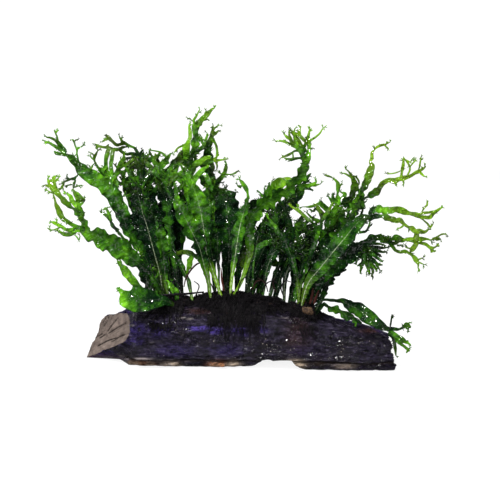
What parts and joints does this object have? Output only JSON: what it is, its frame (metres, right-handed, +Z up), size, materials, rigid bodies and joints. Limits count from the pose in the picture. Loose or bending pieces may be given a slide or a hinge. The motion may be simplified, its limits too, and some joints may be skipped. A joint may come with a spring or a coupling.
{
  "type": "java fern on driftwood",
  "caption": "Dark driftwood log carrying clumps of crested java fern fronds on creeping rhizomes, an aquarium plant that rests on its underside.",
  "frame": {"origin": "on the flat underside of the log, where it rests, below the middle of the centre clump", "axes": "+X along the log towards its rough end, +Z up, -Y the side that the picture shows"},
  "size_m": [0.2514, 0.104, 0.1635],
  "materials": {
    "driftwood": "satin",
    "rhizome": "satin",
    "frond_bright": "satin",
    "frond_dark": "satin"
  },
  "bodies": {
    "root": {"driftwood": "driftwood", "rhizome_left": "rhizome", "rhizome_centre": "rhizome", "rhizome_right": "rhizome", "frond_left_reach": "frond_bright", "frond_left_low": "frond_bright", "frond_left_lobe": "frond_bright", "frond_left_shelf": "frond_bright", "frond_left_dark": "frond_dark", "frond_left_curl": "frond_dark", "frond_crown_left": "frond_dark", "frond_crown_lace": "frond_dark", "frond_left_finger": "frond_dark", "frond_centre_left": "frond_dark", "frond_back_left": "frond_dark", "frond_back_left_low": "frond_dark", "frond_left_young": "frond_bright", "frond_crown_middle": "frond_dark", "frond_crown_fill": "frond_dark", "frond_rear_left": "frond_dark", "frond_top_crest": "frond_bright", "frond_top_right": "frond_dark", "frond_front_left": "frond_bright", "frond_front_bright": "frond_bright", "frond_centre_dark": "frond_dark", "frond_centre_narrow": "frond_dark", "frond_arch_right": "frond_bright", "frond_arch_back": "frond_dark", "frond_small_oval": "frond_bright", "frond_centre_young": "frond_bright", "frond_centre_fill": "frond_dark", "frond_dark_low": "frond_dark", "frond_dark_high": "frond_dark", "frond_dark_right": "frond_dark", "frond_rear_centre": "frond_dark", "frond_back_centre": "frond_dark", "frond_back_low": "frond_dark", "frond_back_top": "frond_dark", "frond_narrow_right": "frond_dark", "frond_right_fork": "frond_bright", "frond_right_tall": "frond_bright", "frond_right_lacy": "frond_dark", "frond_right_midrib": "frond_bright", "frond_right_low": "frond_bright", "frond_right_fan": "frond_dark", "frond_right_droop": "frond_bright", "frond_right_droop_low": "frond_bright", "frond_right_dark": "frond_dark", "frond_rear_right": "frond_dark", "frond_rear_far_right": "frond_dark", "frond_back_right": "frond_dark", "frond_back_right_low": "frond_dark"}
  },
  "joints": []
}
